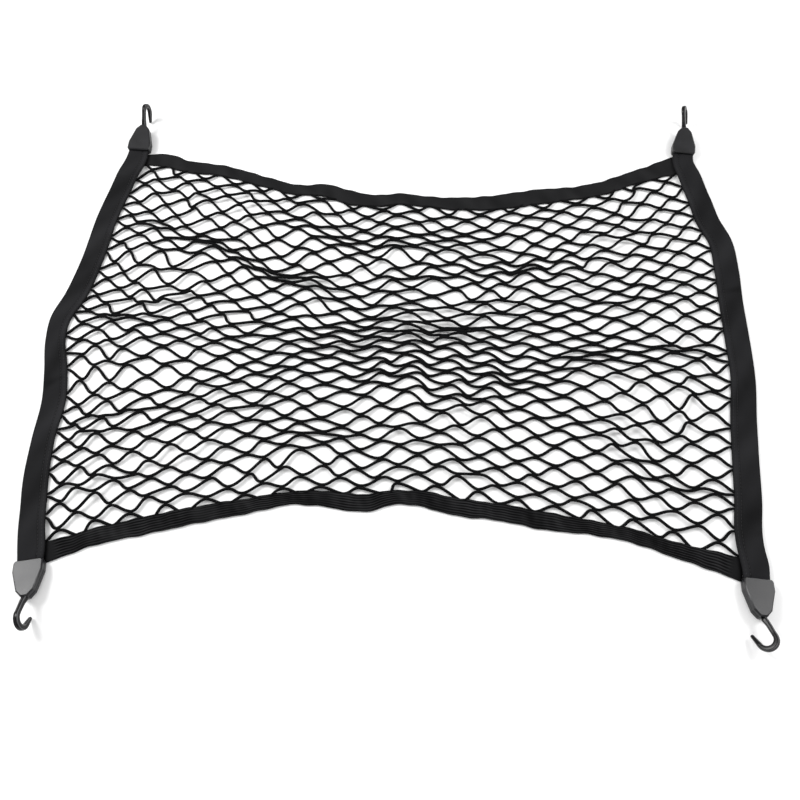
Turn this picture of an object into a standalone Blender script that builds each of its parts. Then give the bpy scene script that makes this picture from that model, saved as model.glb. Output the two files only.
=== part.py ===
"""Elastic cargo net with four webbing bands, four corner housings and four swivelling hooks.

The net lies flat, as it does when it is laid out on a table. Metres, +Z up. The origin is on the
surface, at the middle of the whole outline. +X runs along the long side, +Y to the far side.
Every size below is in millimetres, and is turned into metres where a mesh is made.
"""

import math

import bmesh
import bpy
import numpy as np
from mathutils import Matrix

MM = 0.001
COLLECTION = "cargo_net"

# Driving dimensions
CORD = 3.0  # thickness of a net cord, and its width
CLEAR = 0.3  # gap between pieces that meet
BAND_THICK = 3.4  # webbing folded over the net's edge
BAND_WALL = 1.0  # one layer of that fold
SLOT_DEPTH = 8.0  # how far the fold is open towards the net
MESH_TUCK = 2.5  # the mesh ends this far inside the fold
SELVEDGE_TUCK = 7.0  # the selvedge, which joins the cord ends, reaches this far in
SELVEDGE_THICK = 0.8
RIB_COUNT = 5  # raised ribs along each elastic band
RIB_HEIGHT = 0.4
ROUND_EDGE = 0.8  # the fold's outer edge is rounded off over this width

HALF_STEPS = 38  # half meshes along each side of the real net
STRIDE = 2  # every second cord is built, so the mesh has twice the real pitch
JOINT_SLACK = 0.9  # how far a knot sits from its even place, as a standard deviation
CORD_CURVE = 0.30  # reach of a cord's S-bend, as a share of its span across
CORD_SHARES = (0.34, 0.72)  # where a gap's outline follows each cord
GAP_END = 0.86  # the sharp end of a gap, as a share of the way to its joint

HOUSING_LENGTH = 41.5
HOUSING_THICK = 11.5
HOUSING_CORNER = 3.5  # radius of the two corners at the wide end
HOUSING_BEVEL = 0.8
MOUTH_HALF_WIDTH = 14.2  # the slot that takes the band's end
MOUTH_HEIGHT = BAND_THICK + 2 * CLEAR
MOUTH_DEPTH = 14.0
TONGUE_HALF_WIDTH = 13.9
TONGUE_LENGTH = 13.5
RAMP_LENGTH = 13.5  # a side band climbs to its housing over this length
LEAD_LENGTH = 14.0  # and runs straight into the mouth over this one

HOOK_REACH = 35.5  # from the housing's nose to the outside of the bend
HOOK_BEND = 9.0  # radius of the bend's centre line
HOOK_OFFSET = 1.5  # the bend's centre lies this far to the shank's side
HOOK_END_ANGLE = 58.0  # degrees that the bend turns on past its outermost point, to the tip
HOOK_TIP_LENGTH = 12.0
HOOK_RADIUS = 2.9
HOOK_TIP_RADIUS = 2.2
NECK_RADIUS = 2.4  # the shank inside the housing's nose
HEAD_RADIUS = 4.2  # the head that keeps the shank in
HEAD_LENGTH = 3.0
HEAD_BACK = 31.2  # the head's back face, from the wide end
BORE_RADIUS = 2.85
CHAMBER_RADIUS = 4.75
CHAMBER_LENGTH = 4.4
CHAMBER_BACK = 30.6

# The whole outline's middle, measured from the point that the tables below start from
CENTRE_X = 1.0
CENTRE_Y = 87.9

# The bands' centre lines, once round the net with the net on the left hand.
# x, y, width
NEAR_BAND = [
    (-376, -184, 23),
    (-340, -171, 20),
    (-275, -155, 21),
    (-221, -143, 20),
    (-167, -133, 18),
    (-120, -124, 16),
    (-84, -125, 19),
    (-42, -130, 21),
    (0, -123, 17),
    (28, -126, 19),
    (60, -134, 21),
    (111, -141, 20),
    (160, -151, 21),
    (206, -158, 17),
    (250, -167, 16),
    (299, -184, 18),
    (341, -197, 23),
    (358, -203, 25),
]
RIGHT_BAND = [
    (378, -182, 30),
    (388, -126, 31),
    (395, -77, 31),
    (403, -26, 31),
    (413, 27, 30),
    (417, 84, 31),
    (420, 140, 31),
    (424, 190, 32),
    (424, 236, 32),
    (414, 270, 33),
    (409, 309, 32),
    (402, 345, 32),
]
FAR_BAND = [
    (384, 370, 30),
    (351, 357, 25),
    (314, 343, 22),
    (278, 328, 23),
    (242, 320, 22),
    (190, 313, 26),
    (120, 302, 24),
    (69, 301, 21),
    (34, 305, 18),
    (0, 309, 20),
    (-34, 306, 20),
    (-69, 312, 24),
    (-104, 325, 21),
    (-138, 325, 18),
    (-190, 341, 18),
    (-246, 360, 19),
    (-300, 369, 21),
    (-335, 381, 23),
    (-352, 381, 20),
]
LEFT_BAND = [
    (-380, 345, 30),
    (-394, 280, 29),
    (-402, 207, 29),
    (-413, 150, 29),
    (-426, 112, 26),
    (-426, 84, 25),
    (-417, 40, 28),
    (-411, 0, 29),
    (-413, -52, 27),
    (-411, -102, 29),
    (-403, -155, 29),
]

# The four corners. x and y are the middle of the housing's wide edge on the surface. heading is the
# way the nose points, clockwise from +Y. pitch lifts the nose. swivel turns the hook in its housing.
# name: x, y, heading, pitch, swivel
CORNERS = {
    "near_left": (-395, -198, 171, 9.0, 80),
    "near_right": (377, -218, 187, 8.0, 142),
    "far_right": (399, 388, 8, 12.0, 117),
    "far_left": (-369, 394, 5, 9.0, 97),
}

# Where the slack mesh is bunched, in shares of the net's width and height. Rows are drawn towards
# a line through (across, up) that climbs by slope, fading over the two reaches.
# across, up, slope, reach across, reach up, pull
GATHERS = [
    (0.14, 0.78, -0.45, 0.16, 0.06, 0.62),
    (0.33, 0.69, -0.35, 0.12, 0.07, 0.55),
    (0.50, 0.54, 0.05, 0.20, 0.10, 0.45),
    (0.56, 0.71, 0.10, 0.12, 0.05, 0.45),
    (0.70, 0.77, 0.20, 0.14, 0.06, 0.40),
    (0.93, 0.13, -0.10, 0.12, 0.06, 0.55),
]

# distance from the wide end, half width
HOUSING_SIDE = [(12.0, 15.6), (22.0, 14.0), (34.5, 9.4), (41.5, 4.3)]

# material: colour (linear), roughness, metallic
MATERIALS = {
    "net_cord": ((0.012, 0.012, 0.013), 0.85, 0.0),
    "webbing": ((0.018, 0.018, 0.020), 0.80, 0.0),
    "elastic": ((0.014, 0.014, 0.015), 0.75, 0.0),
    "housing_plastic": ((0.085, 0.086, 0.090), 0.45, 0.0),
    "hook_plastic": ((0.016, 0.016, 0.018), 0.32, 0.0),
}


def clear_scene():
    for obj in list(bpy.data.objects):
        bpy.data.objects.remove(obj, do_unlink=True)


def new_collection(name, hidden=False):
    collection = bpy.data.collections.new(name)
    bpy.context.scene.collection.children.link(collection)
    collection.hide_render = hidden
    return collection


def plain_material(piece, slot):
    """A Principled material of its own for each piece."""
    colour, roughness, metallic = MATERIALS[slot]
    material = bpy.data.materials.new(f"{slot}_{piece}")
    material.use_nodes = True
    shader = material.node_tree.nodes["Principled BSDF"]
    shader.inputs["Base Color"].default_value = (*colour, 1.0)
    shader.inputs["Roughness"].default_value = roughness
    shader.inputs["Metallic"].default_value = metallic
    return material


def add_object(name, mesh, collection, slot=None):
    obj = bpy.data.objects.new(name, mesh)
    collection.objects.link(obj)
    if slot:
        mesh.materials.append(plain_material(name, slot))
        mesh.shade_smooth()
        mesh.set_sharp_from_angle(angle=math.radians(32))
    else:
        obj.display_type = "WIRE"
        obj.hide_render = True
    return obj


def cut(obj, cutter, solver="EXACT"):
    boolean = obj.modifiers.new(f"cut_{cutter.name}", "BOOLEAN")
    boolean.operation = "DIFFERENCE"
    boolean.solver = solver
    boolean.object = cutter


def smooth_path(rows, stations, ends=(0.0,)):
    """Stations along the cubic curve through the rows; every column is carried along.

    They are even, but for those set by their distances from each of the two ends.
    """
    rows = np.array(rows, float)
    chord = np.r_[0, np.cumsum(np.hypot(*np.diff(rows[:, :2], axis=0).T))]
    slope = np.gradient(rows, chord, axis=0)
    middle = np.linspace(ends[-1], chord[-1] - ends[-1], stations)
    at = np.unique(np.r_[ends[:-1], middle, chord[-1] - np.array(ends[:-1])])
    k = np.clip(np.searchsorted(chord, at) - 1, 0, len(rows) - 2)
    span = (chord[k + 1] - chord[k])[:, None]
    t = (at - chord[k])[:, None] / span
    return (
        (1 + 2 * t) * (1 - t) ** 2 * rows[k]
        + t * (1 - t) ** 2 * span * slope[k]
        + t * t * (3 - 2 * t) * rows[k + 1]
        - t * t * (1 - t) * span * slope[k + 1]
    )


def corner_matrix(name):
    """The housing's place in millimetres: its +Y runs to the nose, its +Z out of its flat face."""
    x, y, heading, pitch, _ = CORNERS[name]
    turn = Matrix.Rotation(math.radians(-heading), 4, "Z")
    tilt = Matrix.Rotation(math.radians(pitch), 4, "X")
    return Matrix.Translation((x - CENTRE_X, y - CENTRE_Y, 0)) @ turn @ tilt


def band_end(name):
    """Path points of a band's end, from inside the housing outwards: x, y, width, lift."""
    place = np.array(corner_matrix(name))
    lift = HOUSING_THICK / 2 - BAND_THICK / 2
    rows = []
    for along in (TONGUE_LENGTH, 0.0, -LEAD_LENGTH):
        point = place @ np.array([0, along, lift, 1.0])
        rows.append((point[0], point[1], 2 * TONGUE_HALF_WIDTH, point[2]))
    return rows


def side_path(rows, start, end, stations):
    """The path of a side band from one housing to another, lifted off the surface near each."""
    first = band_end(start)
    last = band_end(end)[::-1]
    middle = [(x - CENTRE_X, y - CENTRE_Y, width, 0.0) for x, y, width in rows]
    ends = [0.0, *(TONGUE_LENGTH + RAMP_LENGTH * np.linspace(0, 1, 4))]
    path = smooth_path(first + middle + last, stations, ends)
    along = np.r_[0, np.cumsum(np.hypot(*np.diff(path[:, :2], axis=0).T))]
    pitch_start = math.tan(math.radians(CORNERS[start][3]))
    pitch_end = math.tan(math.radians(CORNERS[end][3]))
    path[:, 3] = climb(along - TONGUE_LENGTH, first[1][3], pitch_start)
    path[:, 3] += climb(along[-1] - TONGUE_LENGTH - along, last[1][3], pitch_end)
    return path


def climb(distance, height, slope):
    """Height of a band's underside at a distance from the mouth: straight inside, eased to 0 outside."""
    t = np.clip(distance / RAMP_LENGTH, 0, 1)
    outside = height * (1 + 2 * t) * (1 - t) ** 2 - slope * RAMP_LENGTH * t * (1 - t) ** 2
    inside = height - slope * distance
    return np.maximum(np.where(distance < 0, inside, outside), 0)


def flat_path(rows, stations):
    middle = [(x - CENTRE_X, y - CENTRE_Y, width, 0.0) for x, y, width in rows]
    return smooth_path(middle, stations)


def edges_of(path):
    """Outer and inner edge of a band, each an array of points on its underside."""
    centre = np.column_stack([path[:, 0], path[:, 1], path[:, 3]])
    tangent = np.gradient(centre, axis=0)
    side = np.column_stack([-tangent[:, 1], tangent[:, 0]])
    side /= np.hypot(*side.T)[:, None]
    half = path[:, 2:3] / 2
    outer, inner = centre.copy(), centre.copy()
    outer[:, :2] -= side * half
    inner[:, :2] += side * half
    return outer, inner


def butt_against(edges, first_side, last_side):
    """Cuts a band's two ends straight, CLEAR short of the side bands' inner edges."""
    for at, side in ((0, first_side), (-1, last_side)):
        side = side[np.argsort(side[:, 1])]
        y = np.sort([edge[at, 1] for edge in edges])
        x = np.interp(y, side[:, 1], side[:, 0])
        way = np.sign(x[0])
        between = side[(side[:, 1] > y[0]) & (side[:, 1] < y[1])]
        bulge = way * (np.interp(between[:, 1], y, x) - between[:, 0])
        short = CLEAR + max(bulge, default=0.0)
        for edge in edges:
            edge[at, 0] = np.interp(edge[at, 1], y, x) - way * max(short, CLEAR)


def band_section(ribs):
    """The folded band's section as rows of: share of the width, offset, height."""
    top = BAND_THICK
    rows = [
        (0, ROUND_EDGE, 0),
        (1, 0, 0),
        (1, 0, BAND_WALL),
        (1, -SLOT_DEPTH, BAND_WALL),
        (1, -SLOT_DEPTH, top - BAND_WALL),
        (1, 0, top - BAND_WALL),
        (1, 0, top),
    ]
    for rib in range(ribs):
        start = 0.78 - 0.7 * rib / ribs
        rows.append((start, 0, top))
        rows.append((start - 0.35 / ribs, 0, top + RIB_HEIGHT))
    if ribs:
        rows.append((0.08, 0, top))
    rows += [(0, ROUND_EDGE, top), (0, 0, top / 2)]
    return np.array(rows)


def loft(rings, closed_ends=True):
    """A closed mesh through rings of equally many points; each ring turns left round its path."""
    bm = bmesh.new()
    verts = [[bm.verts.new(point * MM) for point in ring] for ring in rings]
    count = len(verts[0])
    for ring, following in zip(verts, verts[1:]):
        for k in range(count):
            after = (k + 1) % count
            bm.faces.new((ring[k], ring[after], following[after], following[k]))
    if closed_ends:
        bm.faces.new(verts[0][::-1])
        bm.faces.new(verts[-1])
    mesh = bpy.data.meshes.new("loft")
    bm.to_mesh(mesh)
    bm.free()
    return mesh


def add_band(name, edges, ribs, slot, collection):
    outer, inner = edges
    across = inner - outer
    width = np.linalg.norm(across, axis=1, keepdims=True)
    across /= width
    tangent = np.gradient((outer + inner) / 2, axis=0)
    up = np.cross(tangent, across)
    up /= np.linalg.norm(up, axis=1, keepdims=True)
    share, offset, height = band_section(ribs).T
    reach = share[None, :] * width + offset[None, :]
    rings = outer[:, None] + reach[..., None] * across[:, None] + height[None, :, None] * up[:, None]
    return add_object(name, loft(rings), collection, slot)


def edge_at(edges, depth):
    """The plan line that runs depth inside a band from its inner edge."""
    outer, inner = (edge[:, :2] for edge in edges)
    across = outer - inner
    return inner + depth * across / np.hypot(*across.T)[:, None]


def crossing(across, along):
    """Where a line that runs in x meets one that runs in y."""
    across = across[np.argsort(across[:, 0])]
    along = along[np.argsort(along[:, 1])]
    x = along[:, 0].mean()
    for _ in range(12):
        y = np.interp(x, across[:, 0], across[:, 1])
        x = np.interp(y, along[:, 1], along[:, 0])
    return np.array([x, y])


def net_sides(bands, depth):
    """The four side lines of the net region at a depth in the bands, between their crossings."""
    near, right, far, left = (edge_at(bands[name], depth) for name in BAND_ORDER)
    corner = [crossing(a, b) for a, b in ((near, left), (near, right), (far, right), (far, left))]
    return [
        trimmed(near, corner[0], corner[1], 0),
        trimmed(right, corner[1], corner[2], 1),
        trimmed(far, corner[3], corner[2], 0),
        trimmed(left, corner[0], corner[3], 1),
    ]


def trimmed(line, start, end, axis):
    """The part of a line between two points on it, in order along one axis."""
    line = line[np.argsort(line[:, axis])]
    inside = (line[:, axis] > start[axis] + 1) & (line[:, axis] < end[axis] - 1)
    return np.vstack([start, line[inside], end])


def even(line, share):
    """Points at shares 0 to 1 of a line's length."""
    along = np.r_[0, np.cumsum(np.hypot(*np.diff(line, axis=0).T))]
    return np.stack([np.interp(share * along[-1], along, line[:, k]) for k in (0, 1)], axis=-1)


def gathered(u, v):
    """The height share v after the gathers have drawn it in."""
    pull_to = v.copy()
    for across, rise, slope, reach_u, reach_v, pull in GATHERS:
        line = rise + slope * (u - across)
        weight = np.exp(-(((u - across) / reach_u) ** 2) - ((v - line) / reach_v) ** 2)
        pull_to -= pull * (v - line) * weight
    return pull_to


def net_joints(sides):
    """Places of all the joints of the full mesh, as an array [across, up, xy].

    The net fills its four bands as a Coons patch: the blend of the near and far lines, plus the
    blend of the left and right lines, less the blend of the four corners.
    """
    near, right, far, left = sides
    step = np.linspace(0, 1, HALF_STEPS + 1)
    u, v = np.meshgrid(step, step, indexing="ij")
    v = gathered(u, v)
    u, v = u[..., None], v[..., None]
    flat_u, flat_v = u[..., 0], v[..., 0]
    patch = (1 - v) * even(near, flat_u) + v * even(far, flat_u)
    patch += (1 - u) * even(left, flat_v) + u * even(right, flat_v)
    patch -= (1 - u) * (1 - v) * near[0] + u * (1 - v) * near[-1]
    patch -= (1 - u) * v * far[0] + u * v * far[-1]
    slack = np.random.default_rng(5).normal(0, JOINT_SLACK, patch.shape)
    slack[0] = slack[-1] = 0
    slack[:, 0] = slack[:, -1] = 0
    return patch + slack


def mesh_point(joints, at):
    """Places in the mesh at fractional joint numbers, held inside the net's rim."""
    last = len(joints) - 1
    at = np.clip(at, 0, last)
    low = np.minimum(at.astype(int), last - 1)
    i, j = low[..., 0], low[..., 1]
    s, t = (at - low)[..., :1], (at - low)[..., 1:]
    lower = (1 - s) * joints[i, j] + s * joints[i + 1, j]
    upper = (1 - s) * joints[i, j + 1] + s * joints[i + 1, j + 1]
    return (1 - t) * lower + t * upper


def gap_walk(lead):
    """Steps from a gap's middle to its outline, in joint numbers, once round to the left.

    Each of the four cords is a cubic Bezier curve whose handles lie level with its two joints.
    A lead moves the points on along their cords, all but the gap's two sharp ends.
    """
    leaving = np.array(CORD_SHARES)
    share = np.array([leaving, 1 - leaving[::-1]]) + lead
    back = 1 - share
    level = 3 * share * back * (back * CORD_CURVE + share * (1 - CORD_CURVE)) + share**3
    rise = 3 * share**2 * back + share**3
    right = np.column_stack([1 - level[0], rise[0]])
    left = np.column_stack([-level[1], 1 - rise[1]])
    upper = np.vstack([(GAP_END, 0), right, left])
    return STRIDE * np.vstack([upper, -upper])


def gap_outlines(joints):
    """The outlines of all gaps, each set in from its cords' centre lines by half a cord."""
    last = len(joints) - 1
    number = np.arange(0, last + 1, STRIDE)
    a, b = np.meshgrid(number, number, indexing="ij")
    centre = np.stack([a, b], axis=-1)[(a + b) // STRIDE % 2 == 1][:, None]
    at = centre + gap_walk(0)
    place = mesh_point(joints, at)
    way = mesh_point(joints, centre + gap_walk(0.02)) - place
    inward = np.stack([-way[..., 1], way[..., 0]], axis=-1)
    inward /= np.maximum(np.linalg.norm(inward, axis=-1, keepdims=True), 1e-6)
    free = (at > 0).all(axis=-1) & (at < last).all(axis=-1)
    place += CORD / 2 * inward * free[..., None]
    return [distinct(outline) for outline in place]


def distinct(outline):
    """Drops the points that fall on the one before, as where a gap is held inside a corner."""
    step = np.linalg.norm(outline - np.roll(outline, 1, axis=0), axis=1)
    return outline[step > CORD / 6]


def plate(name, outlines, low, high, collection, slot=None):
    """A flat plate between two heights: the first outline less the others, as a filled 2D curve."""
    data = bpy.data.curves.new(name, "CURVE")
    data.dimensions = "2D"
    data.fill_mode = "BOTH"
    data.extrude = (high - low) / 2 * MM
    for outline in outlines:
        spline = data.splines.new("POLY")
        spline.points.add(len(outline) - 1)
        for point, (x, y) in zip(spline.points, outline):
            point.co = (x * MM, y * MM, 0, 1)
        spline.use_cyclic_u = True
    guide = bpy.data.objects.new(f"{name}_curve", data)
    bpy.context.scene.collection.objects.link(guide)
    graph = bpy.context.evaluated_depsgraph_get()
    mesh = bpy.data.meshes.new_from_object(guide.evaluated_get(graph))
    bpy.data.objects.remove(guide)
    mesh.transform(Matrix.Translation((0, 0, (low + high) / 2 * MM)))
    bm = bmesh.new()
    bm.from_mesh(mesh)
    bmesh.ops.remove_doubles(bm, verts=bm.verts, dist=0.01 * MM)
    bmesh.ops.recalc_face_normals(bm, faces=bm.faces)
    bm.to_mesh(mesh)
    bm.free()
    mesh.name = name
    return add_object(name, mesh, collection, slot)


def loop_round(sides):
    near, right, far, left = sides
    return np.vstack([near[:-1], right[:-1], far[::-1][:-1], left[::-1][:-1]])


def add_net(bands, collection, cutters):
    """The mesh, cut from a plate, with its rim thinned to the selvedge that lies in the bands."""
    gaps = gap_outlines(net_joints(net_sides(bands, MESH_TUCK)))
    rim = loop_round(net_sides(bands, SELVEDGE_TUCK))
    net = plate("net", [rim, *gaps], 0, CORD, collection, "net_cord")
    free = loop_round(net_sides(bands, -CLEAR))
    beyond = loop_round(net_sides(bands, SELVEDGE_TUCK + 3))
    low = (BAND_THICK - SELVEDGE_THICK) / 2
    over = plate("over_selvedge", [beyond, free], low + SELVEDGE_THICK, CORD + 2, cutters)
    under = plate("under_selvedge", [beyond, free], -2, low, cutters)
    cut(net, over, "MANIFOLD")
    cut(net, under, "MANIFOLD")
    return len(gaps)


def housing_outline():
    """The housing's plan: a round-cornered wide end, curved sides and a narrow flat nose."""
    widest = HOUSING_SIDE[0][1]
    right = []
    for step in range(5):
        angle = math.radians(90 * step / 4 - 90)
        x = widest - HOUSING_CORNER + HOUSING_CORNER * math.cos(angle)
        right.append((x, HOUSING_CORNER * (1 + math.sin(angle))))
    right += [(half_width, along) for along, half_width in HOUSING_SIDE]
    return right + [(-x, y) for x, y in reversed(right)]


def turned_cutter(name, radius, back, front, collection):
    """A round cutter along the housing's shank axis."""
    bm = bmesh.new()
    bmesh.ops.create_cone(
        bm,
        cap_ends=True,
        segments=16,
        radius1=radius * MM,
        radius2=radius * MM,
        depth=(front - back) * MM,
    )
    lie = Matrix.Rotation(math.radians(-90), 4, "X")
    to = Matrix.Translation((0, (front + back) / 2 * MM, HOUSING_THICK / 2 * MM))
    bm.transform(to @ lie)
    mesh = bpy.data.meshes.new(name)
    bm.to_mesh(mesh)
    bm.free()
    return add_object(name, mesh, collection)


def mouth_cutter(collection):
    bm = bmesh.new()
    bmesh.ops.create_cube(bm, size=1.0)
    overrun = 6.0
    size = (2 * MOUTH_HALF_WIDTH, MOUTH_DEPTH + overrun, MOUTH_HEIGHT)
    bm.transform(Matrix.Diagonal((*(side * MM for side in size), 1)))
    bm.transform(Matrix.Translation((0, (MOUTH_DEPTH - overrun) / 2 * MM, HOUSING_THICK / 2 * MM)))
    mesh = bpy.data.meshes.new("mouth")
    bm.to_mesh(mesh)
    bm.free()
    return add_object("mouth", mesh, collection)


def housing_mesh():
    """The housing's solid, in its own frame: its wide end at y = 0, its lower face at z = 0."""
    bm = bmesh.new()
    floor = [bm.verts.new((x * MM, y * MM, 0)) for x, y in housing_outline()]
    face = bm.faces.new(floor)
    raised = bmesh.ops.extrude_face_region(bm, geom=[face])["geom"]
    top = [item for item in raised if isinstance(item, bmesh.types.BMVert)]
    bmesh.ops.translate(bm, verts=top, vec=(0, 0, HOUSING_THICK * MM))
    bmesh.ops.recalc_face_normals(bm, faces=bm.faces)
    mesh = bpy.data.meshes.new("housing")
    bm.to_mesh(mesh)
    bm.free()
    return mesh


def add_housing(name, parent, collection, cutters):
    housing = add_object(f"housing_{name}", housing_mesh(), collection, "housing_plastic")
    housing.parent = parent
    bevel = housing.modifiers.new("soft_edges", "BEVEL")
    bevel.width = HOUSING_BEVEL * MM
    bevel.segments = 2
    bevel.limit_method = "ANGLE"
    bevel.angle_limit = math.radians(60)
    front = HOUSING_LENGTH + 4
    for cutter in (
        mouth_cutter(cutters),
        turned_cutter("bore", BORE_RADIUS, CHAMBER_BACK + 1, front, cutters),
        turned_cutter("chamber", CHAMBER_RADIUS, CHAMBER_BACK, CHAMBER_BACK + CHAMBER_LENGTH, cutters),
    ):
        cutter.name = f"{cutter.name.split('.')[0]}_{name}"
        cutter.parent = parent
        cut(housing, cutter)


def hook_line():
    """The hook's centre line in its own plane, as rows of: reach from the nose, side, radius.

    A straight shank touches the bend, a circle's arc, and a straight tip leaves it.
    """
    centre = np.array([HOOK_REACH - HOOK_RADIUS - HOOK_BEND, HOOK_OFFSET])
    to_nose = -centre
    opening = math.acos(HOOK_BEND / np.hypot(*to_nose))
    first = math.atan2(to_nose[1], to_nose[0]) + 2 * math.pi - opening
    angles = np.linspace(first, -math.radians(HOOK_END_ANGLE), 13)
    bend = centre + HOOK_BEND * np.column_stack([np.cos(angles), np.sin(angles)])
    last = angles[-1]
    tip = bend[-1] + HOOK_TIP_LENGTH * np.array([math.sin(last), -math.cos(last)])
    start = bend[0] * 0.12
    rows = [(start[0], start[1], HOOK_RADIUS)]
    rows += [(s, t, HOOK_RADIUS) for s, t in bend]
    middle = (bend[-1] + tip) / 2
    rows.append((middle[0], middle[1], (HOOK_RADIUS + HOOK_TIP_RADIUS) / 2))
    rows.append((tip[0], tip[1], HOOK_TIP_RADIUS))
    return rows


def hook_points():
    """The whole hook from its head to its tip, as rows of: y from the nose, x, radius."""
    back = HEAD_BACK - HOUSING_LENGTH
    shank = [
        (back, 0, HEAD_RADIUS),
        (back + HEAD_LENGTH, 0, HEAD_RADIUS),
        (back + HEAD_LENGTH + 0.3, 0, NECK_RADIUS),
        (0.6, 0, NECK_RADIUS),
    ]
    return shank + hook_line()


def add_hook(name, parent, swivel, collection):
    """A bevelled curve, made a mesh. Its origin is on the shank's axis, at the housing's nose."""
    data = bpy.data.curves.new(f"hook_{name}", "CURVE")
    data.dimensions = "3D"
    data.bevel_depth = MM
    data.bevel_resolution = 3
    data.use_fill_caps = True
    data.twist_mode = "Z_UP"
    spline = data.splines.new("POLY")
    rows = hook_points()
    spline.points.add(len(rows) - 1)
    for point, (y, x, radius) in zip(spline.points, rows):
        point.co = (x * MM, y * MM, 0, 1)
        point.radius = radius
    guide = bpy.data.objects.new(f"hook_{name}_curve", data)
    bpy.context.scene.collection.objects.link(guide)
    graph = bpy.context.evaluated_depsgraph_get()
    mesh = bpy.data.meshes.new_from_object(guide.evaluated_get(graph))
    bpy.data.objects.remove(guide)
    bm = bmesh.new()
    bm.from_mesh(mesh)
    bmesh.ops.remove_doubles(bm, verts=bm.verts, dist=0.01 * MM)
    bmesh.ops.recalc_face_normals(bm, faces=bm.faces)
    bm.to_mesh(mesh)
    bm.free()
    hook = add_object(f"hook_{name}", mesh, collection, "hook_plastic")
    hook.parent = parent
    hook.location = (0, HOUSING_LENGTH * MM, HOUSING_THICK / 2 * MM)
    hook.rotation_euler = (0, math.radians(-swivel), 0)


BAND_ORDER = ("near_band", "right_band", "far_band", "left_band")


def main():
    clear_scene()
    parts = new_collection(COLLECTION)
    cutters = new_collection("cutters", hidden=True)
    right = edges_of(side_path(RIGHT_BAND, "near_right", "far_right", 34))
    left = edges_of(side_path(LEFT_BAND, "far_left", "near_left", 34))
    near = edges_of(flat_path(NEAR_BAND, 33))
    far = edges_of(flat_path(FAR_BAND, 35))
    butt_against(near, left[1], right[1])
    butt_against(far, right[1], left[1])
    bands = dict(zip(BAND_ORDER, (near, right, far, left)))
    for name, edges in bands.items():
        ribbed = name in ("near_band", "far_band")
        add_band(name, edges, RIB_COUNT if ribbed else 0, "elastic" if ribbed else "webbing", parts)
    add_net(bands, parts, cutters)
    for name, (_, _, _, _, swivel) in CORNERS.items():
        corner = bpy.data.objects.new(f"corner_{name}", None)
        parts.objects.link(corner)
        place = corner_matrix(name)
        place.translation *= MM
        corner.matrix_world = place
        add_housing(name, corner, parts, cutters)
        add_hook(name, corner, swivel, parts)
    bpy.context.view_layer.update()


main()
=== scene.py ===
# %% [markdown]
# # An elastic cargo net, laid out flat
#
# The object is a luggage net: a mesh of thin elastic cord inside a frame of four bands. The two
# long sides of the frame are gathered elastic, the two short sides are smooth webbing, and each
# corner ends in a plastic housing with a hook that swivels. The solids of the part are loaded
# first. They give the size and the place of everything, and this lesson dresses them.

# %% The part's frame
import math

import bpy
import numpy as np
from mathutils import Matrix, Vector


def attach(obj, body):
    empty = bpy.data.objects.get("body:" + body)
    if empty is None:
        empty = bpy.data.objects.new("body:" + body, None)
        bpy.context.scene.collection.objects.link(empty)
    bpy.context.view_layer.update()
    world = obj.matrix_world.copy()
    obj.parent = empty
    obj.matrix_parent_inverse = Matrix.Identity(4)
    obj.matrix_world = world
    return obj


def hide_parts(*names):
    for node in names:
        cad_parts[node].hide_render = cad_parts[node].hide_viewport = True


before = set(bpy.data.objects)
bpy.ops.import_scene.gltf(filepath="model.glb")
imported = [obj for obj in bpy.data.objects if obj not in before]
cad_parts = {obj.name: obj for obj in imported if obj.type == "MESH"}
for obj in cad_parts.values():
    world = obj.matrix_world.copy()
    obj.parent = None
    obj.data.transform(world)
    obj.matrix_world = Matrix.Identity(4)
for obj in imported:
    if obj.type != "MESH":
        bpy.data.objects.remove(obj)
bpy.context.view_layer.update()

print("nodes:", sorted(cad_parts))

# %% [markdown]
# ## From a grid of points to a mesh
#
# Nearly every piece here is a tube of some section: a cord, a band, a hook. A tube is a grid of
# points, with one index along it and one round it. Faces join each point to its neighbours, so
# the whole mesh can be worked out as arrays. The faces carry a UV map in millimetres, with U
# round the tube and V along it, so that a weave can follow the surface at its real scale.

# %% Tubes from arrays
MM = 0.001


def length_along(points):
    """Distance of each point from the first of its row, summed along points[..., row, xyz]."""
    step = np.linalg.norm(np.diff(points, axis=-2), axis=-1)
    before = [(0, 0)] * (step.ndim - 1) + [(1, 0)]
    return np.cumsum(np.pad(step, before), axis=-1)


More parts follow.
